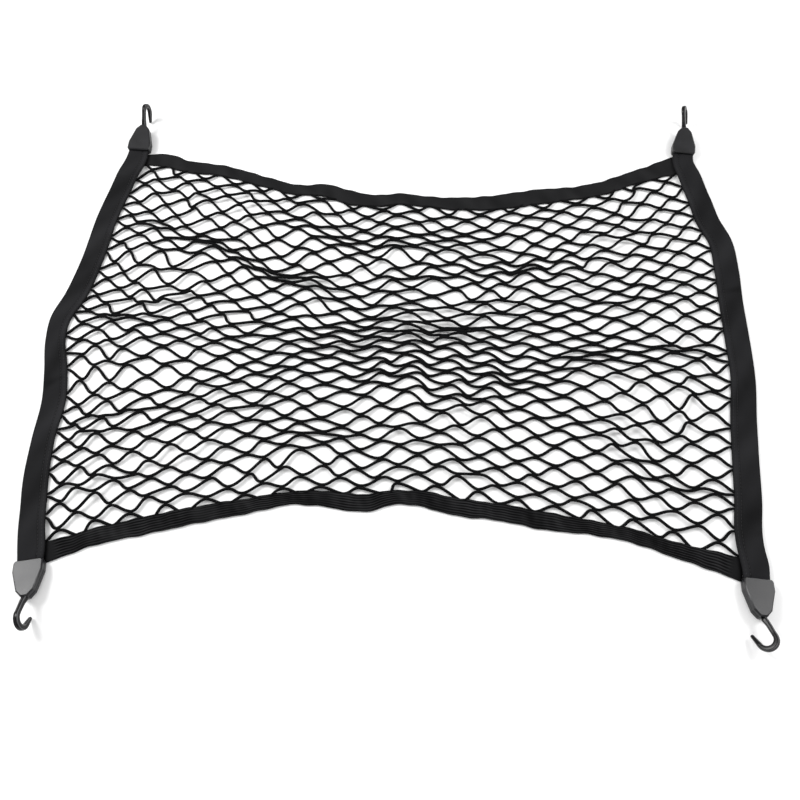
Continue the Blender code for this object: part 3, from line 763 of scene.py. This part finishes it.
# %% [markdown]
# ## The long bands
#
# Elastic is stretched while it is sewn on and shrinks back, so it is puckered and its edges wander
# a little. The near band shows its ribbed side and the far band its plain side. Both are a sum of
# a few sines of different lengths, which never repeat together. Their ends run on under the side
# bands and are thinner there, with no ribs where they are covered.

# %% Elastic
RUN_UNDER = 9.0  # a long band goes on so far under the side bands
END_GRIP = 6  # stations at a band's end that give its direction
END_THICK = 2.7
THICKENS = (26, 14)  # how far from its end it starts to get its full thickness, and over what
RIBS_START = (9, 10)  # the same for its relief
COVERED = -0.1  # height of the top where it has no relief


def elastic_relief(s, d, v):
    """Seven ribs along the band, cosines of the share, higher in some places, and puckers."""
    phase = 7 * s + 0.30 * np.sin(v / 41) + 0.14 * np.sin(v / 13)
    rib = np.cos(2 * np.pi * phase) * (0.32 + 0.10 * np.sin(v / 19 + 1.3) + 0.06 * np.sin(v / 7.3))
    pucker = 0.08 * np.sin(v / 2.4 + 1.7 * np.sin(v / 11) + 2 * s) * np.sin(np.pi * s)
    fold = 0.14 * np.sin(v / 12.7 + 2.5 * s + 1.5 * np.sin(v / 31)) ** 3
    return pucker + fold + rib - 0.1


def plain_relief(s, d, v):
    """The far band's elastic is smooth on this side, with soft folds only."""
    return 0.22 * np.sin(v / 9.7 + 3 * s) + 0.20 * np.sin(v / 4.1 + 2 * s) * np.sin(v / 37)


def run_under(outer, inner):
    """Both edges of a long band, run on at each end so that it ends under the side bands."""
    longer = []
    for edge in (outer, inner):
        first = edge[0] + unit(edge[0] - edge[END_GRIP]) * RUN_UNDER
        last = edge[-1] + unit(edge[-1] - edge[-1 - END_GRIP]) * RUN_UNDER
        longer.append(np.vstack([first, edge, last]))
    return longer


def gathered(outer, inner, v):
    """Both edges with the small waves of the gathers: two sines each, in and out."""
    way = unit(inner - outer)
    outer = outer + way * (0.40 * np.sin(v / 5.9) + 0.3 * np.sin(v / 3.7 + 2))[:, None]
    inner = inner + way * (0.45 * np.sin(v / 7.3) + 0.3 * np.sin(v / 3.1 + 1))[:, None]
    return outer, inner


def from_ends(relief, shown):
    """A relief that is there where shown is 1 and level where it is 0."""
    return lambda s, d, v: relief(s, d, v) * shown + COVERED * (1 - shown)


# name: relief, points across, painted shade from the height: its base and its gain
LONG_BANDS = {
    "near": (elastic_relief, 76, (0.48, 1.45)),
    "far": (plain_relief, 40, (0.50, 0.35)),
}
for name, (relief, across, painted_shade) in LONG_BANDS.items():
    outer, inner = run_under(*long_edges[name])
    v = length_along((outer + inner) / 2)
    ends = np.minimum(v, v[-1] - v)
    thick = END_THICK + (BAND_THICK - END_THICK) * smoothstep((ends - THICKENS[0]) / THICKENS[1])
    shown = smoothstep((ends - RIBS_START[0]) / RIBS_START[1])[:, None]
    outer, inner = gathered(outer, inner, v)
    bands[name] = strip(
        f"{name}_elastic", outer, inner, 0 * v, thick, from_ends(relief, shown), across, painted_shade
    )

# %% [markdown]
# ## The sewing
#
# The fold of each side band is closed by two lines of thread. A stitch is a short thread that
# dives into the cloth at both ends, so it is a tube on a low arch. All of them are worked out
# together as one array, because hundreds of separate objects would be slow to handle.


# %% Rows of stitches
SEAMS = (3.2, FOLD_LINE)  # from the inner edge
STITCH_PITCH, STITCH_LONG = 4.2, 3.0
SEAM_MARGINS = (17, 20)  # bare lengths at a band's ends, which are in the housings
THREAD_RADIUS, THREAD_SUNK, THREAD_ARCH = 0.36, 0.30, 0.55


def stitch_row(outer, inner, lift, depth):
    """Arches along a line depth from the inner edge: half a sine wave high, at the band's top."""
    line = inside_band(outer, inner, depth)
    along = length_along(line)
    start = np.arange(SEAM_MARGINS[0], along[-1] - SEAM_MARGINS[1], STITCH_PITCH)[:, None]
    t = np.linspace(0, 1, 5)[None, :]
    at = start + t * STITCH_LONG
    x, y, z = (np.interp(at, along, column) for column in (*line.T, lift))
    z = z + BAND_THICK - THREAD_SUNK + THREAD_ARCH * np.sin(np.pi * t)
    return round_tube(np.stack([x, y, z], axis=-1), THREAD_RADIUS, 5)


seams = [
    stitch_row(*side_edges[name], side_lift[name], depth) for name in side_edges for depth in SEAMS
]
stitches = tubes("stitches", np.concatenate(seams))
print(sum(len(seam) for seam in seams), "stitches")

# %% [markdown]
# ## The housings
#
# A housing is moulded in two halves that meet at a parting line, with the band's end between
# them. Seen from above it is a shield: a wide end with two round corners, straight sides, and a
# short steep nose. The whole shell can be one stack of outlines. Each is the plan drawn in by
# some amount at some height, so bevels and the groove of the parting line are a few rows of a
# table. Between two heights the points of the wide end step back 14 mm, and that is the mouth.

# %% A stack of outlines
HOUSING_PLAN = [(13.0, 15.5), (35.2, 9.3), (41.5, 3.9)]  # along, half width
WIDE_END, NOSE_END = (6.0, 0.0), (2.0, 41.9)  # half width, along
CORNER_ROUND = 3.5
MOUTH_HALF, MOUTH_DEPTH = 14.1, 14.0
CHEEK_CLEAR = 0.3  # the mouth's points start this far inside its half width
BLUNTEST = 0.3  # keeps a sharp corner from running away as its outline is drawn in
CRISP = 14  # degrees
# height, how far the plan is drawn in, mouth
LAYERS = [
    (0.0, 1.0, 0), (0.3, 0.35, 0), (1.0, 0.0, 0), (3.70, 0.0, 0), (3.75, 0.0, 1), (5.20, 0.0, 1),
    (5.45, 0.25, 1), (5.50, 0.9, 1), (6.00, 0.9, 1), (6.05, 0.25, 1), (6.30, 0.0, 1),
    (7.75, 0.0, 1), (7.80, 0.0, 0), (10.0, 0.0, 0), (10.15, 0.05, 0), (11.3, 1.15, 0),
    (11.5, 1.45, 0),
]


def shield():
    """The plan, once round to the left from the middle of the wide end."""
    angle = np.radians([-90, -72, -54, -37, -18, 0])
    centre = np.array([HOUSING_PLAN[0][1] - CORNER_ROUND, CORNER_ROUND])
    arc = centre + CORNER_ROUND * np.column_stack([np.cos(angle), np.sin(angle)])
    side = np.array([(half, along) for along, half in HOUSING_PLAN])
    right = np.vstack([[WIDE_END], arc, side, [NOSE_END]])
    return np.vstack([right, (right * (-1, 1))[::-1]])


def drawn_in(plan, amount):
    """The plan moved inwards: each point goes along the mean normal of its two edges."""
    normal = left_of(unit(np.roll(plan, -1, axis=0) - plan))
    mean = normal + np.roll(normal, 1, axis=0)
    mean /= np.maximum((mean**2).sum(axis=1, keepdims=True) / 2, BLUNTEST)
    return plan + mean * amount


def housing_rings(plan):
    """The layers as rings; at the mouth the points between its cheeks go back to its depth."""
    rings = []
    between_cheeks = (np.abs(plan[:, 0]) < MOUTH_HALF - CHEEK_CLEAR) & (plan[:, 1] < 2)
    cheek = np.clip(plan[:, 0] * 1.2, -MOUTH_HALF, MOUTH_HALF)
    back = np.column_stack([cheek, np.full(len(plan), MOUTH_DEPTH)])
    for height, inset, mouth in LAYERS:
        outline = drawn_in(plan, inset)
        if mouth:
            outline[between_cheeks] = back[between_cheeks]
        rings.append(np.column_stack([outline, np.full(len(plan), height)]))
    return np.array(rings)


shell_rings = housing_rings(shield())
housings = {
    name: tubes(f"housing_shell_{name}", moved(shell_rings, corner_matrix(name))[None], crisp=CRISP)
    for name in CORNERS
}

# %% [markdown]
# ## The hook's line
#
# A hook is a rod bent in one plane: a straight shank that leans out from the nose, a bend of
# nearly half a turn, and a straight tip. The bend is an arc round one centre, and the shank is the
# tangent to that arc from the nose, so the two meet without a kink. The rod is thickest at its
# root, stouter in the bend than before it, and thin at the tip.

# %% A tangent, an arc and a tip
HOOK_REACH, HOOK_BEND, HOOK_OFFSET = 35.5, 9.0, 1.5
HOOK_END_ANGLE, HOOK_TIP, HOOK_RADIUS = 58.0, 12.0, 2.9
HOOK_INSIDE = 4.0  # the rod starts this far inside the nose
SHANK_STATIONS, BEND_STATIONS, TIP_STATIONS = 13, 44, 12
NECK_RADIUS, NOSE_CLEAR = 2.45, 0.5  # the rod is a neck until it is clear of the nose
SHANK_RADIUS, ROOT_MORE, ROOT_FADE = 2.75, 0.8, 6
BEND_MORE, TIP_RADIUS = 0.30, 1.95
TIP_ROUND = [(0.5, 1.8), (1.0, 1.45), (1.35, 0.95), (1.5, 0.3)]  # beyond the tip, radius


def hook_line():
    """Stations as x, y, with y along the shank's axis from the nose, and their radii."""
    centre = np.array([HOOK_OFFSET, HOOK_REACH - HOOK_RADIUS - HOOK_BEND])
    opening = math.acos(HOOK_BEND / np.hypot(*centre))
    first = math.atan2(-centre[0], -centre[1]) + 2 * math.pi - opening
    last = -math.radians(HOOK_END_ANGLE)
    angle = np.linspace(first, last, BEND_STATIONS)
    bend = centre + HOOK_BEND * np.column_stack([np.sin(angle), np.cos(angle)])
    tip_way = np.array([-math.cos(last), math.sin(last)])
    tip = bend[-1] + np.linspace(0, HOOK_TIP, TIP_STATIONS + 1)[1:, None] * tip_way
    root = np.array([0.0, -HOOK_INSIDE])
    shank = root + np.linspace(0, 1, SHANK_STATIONS, endpoint=False)[:, None] * (bend[0] - root)
    shank[:, 0] *= np.clip((shank[:, 1] + 1.5) / 8, 0, 1) ** 0.5
    rounding, round_radius = np.array(TIP_ROUND).T
    out = shank[:, 1] - NOSE_CLEAR
    swollen = SHANK_RADIUS + ROOT_MORE * np.exp(-out / ROOT_FADE)
    radius = [
        np.where(out > 0, swollen, NECK_RADIUS),
        HOOK_RADIUS + BEND_MORE * np.sin(np.linspace(0, np.pi, BEND_STATIONS)),
        np.linspace(HOOK_RADIUS, TIP_RADIUS, TIP_STATIONS),
        round_radius,
    ]
    line = np.vstack([shank, bend, tip, tip[-1] + rounding[:, None] * tip_way])
    return line, np.concatenate(radius)


rod_line, rod_radii = hook_line()
print(f"hook: {length_along(rod_line)[-1]:.0f} mm of rod, {2 * rod_radii.max():.1f} mm at its root")

# %% [markdown]
# ## The hook's section
#
# The rod isn't round: it is a square with very round corners, with a fine ridge where the two
# halves of the mould met. A circle becomes such a square when the cosine and sine are raised to a
# power. The section turns with the path, and the whole hook is swivelled about its shank's axis
# before it is set in its housing.

# %% Four hooks
AROUND_HOOK = 32
SQUARENESS = 4
RIDGE_HEIGHT, RIDGE_WIDTH = 0.05, 0.16  # in radii, and in the sine of the angle
FLATS = 0.91  # half width across the flats, in radii


def hook_rings():
    """Rings of a rounded square: radius over the p-th root of |cos|^p + |sin|^p, with a ridge.

    The second value is 1 at the square's corners, less at the ridges, and 0 on its flats; it marks
    where highlights are painted.
    """
    tangent = unit(np.gradient(rod_line, axis=0))
    angle = np.linspace(0, 2 * np.pi, AROUND_HOOK, endpoint=False)
    powers = np.abs(np.cos(angle)) ** SQUARENESS + np.abs(np.sin(angle)) ** SQUARENESS
    ridge = RIDGE_HEIGHT * np.exp(-((np.sin(angle) / RIDGE_WIDTH) ** 2))
    reach = rod_radii[:, None] * (FLATS * powers ** (-1 / SQUARENESS) + ridge)
    # where highlights are painted: the square's corners and the mould's ridge
    raised = np.broadcast_to(np.sin(2 * angle) ** 12 + 6 * ridge, reach.shape)
    aside = -left_of(tangent)
    flat = rod_line[:, None] + (reach * np.cos(angle))[..., None] * aside[:, None]
    return np.concatenate([flat, -(reach * np.sin(angle))[..., None]], axis=-1), raised


seat = np.eye(4)
seat[:3, 3] = (0, HOUSING_LENGTH, HOUSING_THICK / 2)
rod_rings, rod_highlight_mask = hook_rings()
hooks = {}
for name, (*_, swivel) in CORNERS.items():
    place = corner_matrix(name) @ seat @ turn("y", -swivel)
    hooks[name] = tubes(f"hook_rod_{name}", moved(rod_rings, place)[None], rod_highlight_mask)

# %% [markdown]
# ## Writing shaders as sums
#
# A material's maths is easier to read as an expression than as a web of boxes. A small class
# holds a socket and adds one Math node for each operator. Another holds the material, and its
# method called node makes every other kind of node.


# %% Sockets that can be added and multiplied
class Wire:
    """An output socket that takes part in Python arithmetic."""

    def __init__(self, finish, socket):
        self.finish, self.socket = finish, socket

    def join(self, operation, a, b=0.0):
        return self.finish.node("ShaderNodeMath", {0: a, 1: b}, operation=operation)

    def __add__(self, other):
        return self.join("ADD", self, other)

    def __sub__(self, other):
        return self.join("SUBTRACT", self, other)

    def __rsub__(self, other):
        return self.join("SUBTRACT", other, self)

    def __mul__(self, other):
        return self.join("MULTIPLY", self, other)

    __radd__, __rmul__ = __add__, __mul__

    def sine(self):
        return self.join("SINE", self)

    def clamped(self):
        return self.finish.node("ShaderNodeClamp", {0: self})


class Finish:
    """A material being put together round its Principled shader."""

    def __init__(self, name, **constants):
        self.material = bpy.data.materials.new(name)
        self.material.use_nodes = True
        self.tree = self.material.node_tree
        self.shader = self.tree.nodes["Principled BSDF"]
        for socket, value in constants.items():
            self.shader.inputs[socket.replace("_", " ")].default_value = value

    def node(self, kind, sockets=(), output=0, **settings):
        """Any node: its settings first, then its sockets as values or wires."""
        made = self.tree.nodes.new(kind)
        for key, value in settings.items():
            setattr(made, key, value)
        for key, value in dict(sockets).items():
            if isinstance(value, Wire):
                self.tree.links.new(value.socket, made.inputs[key])
            else:
                made.inputs[key].default_value = value
        return Wire(self, made.outputs[output])

    def blend(self, factor, a, b):
        """A colour that goes from a to b with the factor."""
        a, b = (*a, 1), (*b, 1)
        return self.node("ShaderNodeMix", {0: factor, 6: a, 7: b}, output=2, data_type="RGBA")

    def noise(self, scale, detail=3.0):
        """Noise over object coordinates, with a scale per metre."""
        place = self.node("ShaderNodeTexCoord", output=3)
        return self.node("ShaderNodeTexNoise", {"Vector": place, "Scale": scale, "Detail": detail})

    def raised(self):
        """How far each point is raised, as its mesh keeps it."""
        return self.node("ShaderNodeAttribute", output=2, attribute_name="raised")

    def cloth_place(self):
        """U round the piece and V along it, both in millimetres."""
        uv = self.node("ShaderNodeUVMap", uv_map="cloth")
        u = self.node("ShaderNodeSeparateXYZ", {0: uv})
        return u, Wire(self, u.socket.node.outputs[1])

    def done(self, colour, roughness=None, height=None, depth=0.0002):
        """Links what varies to the shader, with the height in units of depth through a Bump."""
        self.tree.links.new(colour.socket, self.shader.inputs["Base Color"])
        if roughness is not None:
            self.tree.links.new(roughness.socket, self.shader.inputs["Roughness"])
        if height is not None:
            sockets = {"Strength": 0.6, "Distance": depth, "Height": height}
            bump = self.node("ShaderNodeBump", sockets)
            self.tree.links.new(bump.socket, self.shader.inputs["Normal"])
        return self.material


print("operators:", [name for name in vars(Wire) if name.startswith("__r")])

# %% [markdown]
# ## Cord, webbing and elastic
#
# The cord is braided: two sets of threads wind round it in opposite ways, so its height is the
# product of two slanting waves. The webbing is a fine twill, another such product. The elastic
# has threads along and across. The ribs and tops of the elastic and the webbing are painted
# lighter and their grooves darker, as painted light and shade. All of it is nearly black, so the
# weave shows in how the light breaks on it, through a little bump, more than in its colour.

# %% Cloth and cord
cord_finish = Finish("braided_cord", Specular_IOR_Level=0.05)
u, v = cord_finish.cloth_place()
around = 4 / CORD  # two waves in the cord's girth
wound_left = (u * around + v * 2.4).sine()
wound_right = (u * around - v * 2.4).sine()
braid = wound_left * wound_right * 0.5 + 0.5
shade = (braid * 0.6 + cord_finish.noise(38.0) * 0.4).clamped()
cord_material = cord_finish.done(
    colour=cord_finish.blend(shade, (0.0018, 0.0018, 0.002), (0.007, 0.007, 0.0075)),
    roughness=0.95 - braid * 0.12,
    height=braid,
    depth=0.00025,
)

webbing_finish = Finish("woven_webbing", Specular_IOR_Level=0.12)
u, v = webbing_finish.cloth_place()
twill = (u * 4.2 + v * 3.4).sine() * (u * 1.3 - v * 5.1).sine() * 0.5 + 0.5
wear = webbing_finish.noise(24.0, 5.0)
# painted shade: raised makes the seam's groove and the creases darker and the waves' tops lighter
shade = (twill * 0.25 + wear * 0.6 + webbing_finish.raised() * 0.5).clamped()
webbing_material = webbing_finish.done(
    colour=webbing_finish.blend(shade, (0.003, 0.003, 0.0034), (0.0155, 0.0155, 0.017)),
    roughness=0.90 - twill * 0.10,
    height=twill * 0.6 + wear * 0.6,
    depth=0.0003,
)

elastic_finish = Finish("ribbed_elastic", Specular_IOR_Level=0.06)
u, v = elastic_finish.cloth_place()
cross_threads = (v * 5.6 + (u * 2.0).sine() * 0.7).sine() * 0.5 + 0.5
long_threads = (u * 7.0).sine() * 0.5 + 0.5
# painted light and shade: raised makes the near band's ribs lighter and its grooves darker, and the
# far band's fold tops lighter and its troughs darker
rib = elastic_finish.raised() * (0.75 + elastic_finish.noise(30.0, 4.0) * 0.5)
shade = (rib + cross_threads * 0.08 + long_threads * 0.08 - 0.08).clamped()
elastic_material = elastic_finish.done(
    colour=elastic_finish.blend(shade, (0.0008, 0.0008, 0.001), (0.0215, 0.0215, 0.0225)),
    roughness=0.88 - long_threads * 0.10,
    height=cross_threads * 0.4 + long_threads * 0.5,
    depth=0.0003,
)

thread_finish = Finish("sewing_thread", Roughness=0.7, Specular_IOR_Level=0.2)
fuzz = thread_finish.noise(900.0, 2.0)
thread_material = thread_finish.done(
    colour=thread_finish.blend(fuzz, (0.010, 0.010, 0.011), (0.028, 0.028, 0.029))
)
cloths = (cord_material, webbing_material, elastic_material, thread_material)
print("cloth finishes:", [material.name for material in cloths])

# %% [markdown]
# ## Two plastics
#
# The housings are satin grey plastic with a fine grain, rubbed a little lighter in places. The
# hooks are black and smoother, and their edges carry painted highlights: broken light grey
# streaks that follow the corners and ridges that the mesh keeps for each point.

# %% Moulded plastic
housing_finish = Finish("satin_grey_plastic", Specular_IOR_Level=0.28)
grain = housing_finish.noise(2600.0, 2.0)
cloud = housing_finish.noise(60.0, 4.0)
rubbed = (cloud * 1.6 - 0.4).clamped()
housing_material = housing_finish.done(
    colour=housing_finish.blend(rubbed, (0.006, 0.006, 0.0068), (0.013, 0.013, 0.0148)),
    roughness=0.25 + cloud * 0.08,
    height=grain * 0.5 + cloud,
    depth=0.00005,
)

hook_finish = Finish("black_hook_plastic", Specular_IOR_Level=0.16)
# painted highlight: broken light grey streaks on the rod's corners and ridge
painted_highlight_streak = (hook_finish.raised() * hook_finish.noise(120.0, 3.0) * 1.4 - 0.1).clamped()
hook_material = hook_finish.done(
    colour=hook_finish.blend(painted_highlight_streak, (0.0012, 0.0012, 0.0014), (0.15, 0.15, 0.155)),
    roughness=0.20 + painted_highlight_streak * 0.25,
    height=hook_finish.noise(700.0, 2.0) * 0.5,
    depth=0.00005,
)
print("plastic finishes:", housing_material.name, hook_material.name)

# %% [markdown]
# ## Putting it on the frame
#
# Each piece is told which body it moves with and given its material, and the solids it stands
# for are hidden.

# %% Riding and replacing
BODY = "net_body"


def dress(piece, body, material, slot, *nodes):
    """Gives a piece its material and its body, and hides the solids it stands for; slot is not
    used.
    """
    piece.data.materials.append(material)
    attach(piece, body)
    if nodes:
        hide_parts(*nodes)


dress(net, BODY, cord_material, "net_cord", "net")
dress(bands["near"], BODY, elastic_material, "elastic", "near_band")
dress(bands["far"], BODY, elastic_material, "elastic", "far_band")
dress(bands["right"], BODY, webbing_material, "webbing", "right_band")
dress(bands["left"], BODY, webbing_material, "webbing", "left_band")
dress(stitches, BODY, thread_material, "webbing")
for name in CORNERS:
    dress(housings[name], BODY, housing_material, "housing_plastic", f"housing_{name}")
    dress(hooks[name], f"hook_body_{name}", hook_material, "hook_plastic", f"hook_{name}")

# %% [markdown]
# ## Floor and light
#
# The net lies on a plain pale floor. A wide soft light from high on the left gives the housings
# their sheen, a weaker one fills from the right and a third from the front, and a pale sky keeps
# the shadows soft. The floor lies a hair below the part, so that nothing is cut by it.

# %% The stage
FLOOR_HALF, FLOOR_DROP = 30, 0.0003
# name: place, what it faces, side in metres, watts
LIGHTS = {
    "high_left": ((-1.55, 0.55, 1.6), (-0.4, -0.3, 0), 0.85, 39),
    "high_right": ((1.48, 0.36, 1.6), (0.4, -0.3, 0), 0.8, 19),
    "front": ((0.0, -1.7, 1.9), (0, 0, 0), 1.6, 8),
}

floor_corners = np.array([(-1, -1, 0), (1, -1, 0), (1, 1, 0), (-1, 1, 0)]) * FLOOR_HALF
floor_mesh = bpy.data.meshes.new("floor")
floor_mesh.from_pydata((floor_corners - (0, 0, FLOOR_DROP)).tolist(), [], [(0, 1, 2, 3)])
floor = bpy.data.objects.new("floor", floor_mesh)
bpy.context.scene.collection.objects.link(floor)
pale_floor = Finish(
    "pale_floor", Base_Color=(0.88, 0.88, 0.88, 1), Roughness=0.95, Specular_IOR_Level=0.1
)
floor_mesh.materials.append(pale_floor.material)

world = bpy.data.worlds.new("pale_sky")
bpy.context.scene.world = world
world.use_nodes = True
sky = world.node_tree.nodes["Background"]
sky.inputs["Color"].default_value = (1, 1, 1, 1)
sky.inputs["Strength"].default_value = 0.70


def soft_light(name, place, target, side, watts):
    """A square area light that faces its target: its -Z points along target minus place."""
    data = bpy.data.lights.new(name, "AREA")
    data.shape, data.size, data.energy = "SQUARE", side, watts
    light = bpy.data.objects.new(name, data)
    bpy.context.scene.collection.objects.link(light)
    light.location = place
    light.rotation_mode = "QUATERNION"
    light.rotation_quaternion = (Vector(target) - Vector(place)).to_track_quat("-Z", "Y")


for name, setting in LIGHTS.items():
    soft_light(name, *setting)
print("lights:", list(LIGHTS))

# %% [markdown]
# ## The camera
#
# The camera stands in front of the net and looks down at 62.5 degrees, as the photograph was
# taken. It aims at the point that the tables' numbers start from, so its place is the distance
# back and up from there, and the tangent of its tilt is back over up.

# %% The camera
CAMERA_BACK, CAMERA_UP = 435, 835
camera_data = bpy.data.cameras.new("camera")
camera_data.lens = 35.6
camera_data.sensor_width = 36.0
camera_data.clip_start = 0.01
camera = bpy.data.objects.new("camera", camera_data)
bpy.context.scene.collection.objects.link(camera)
camera.location = (-CENTRE[0] * MM, (-CAMERA_BACK - CENTRE[1]) * MM, CAMERA_UP * MM)
camera.rotation_euler = (math.atan2(CAMERA_BACK, CAMERA_UP), 0, 0)
bpy.context.scene.camera = camera
bpy.context.scene.view_settings.view_transform = "Standard"
print("camera at", tuple(round(value, 4) for value in camera.location))
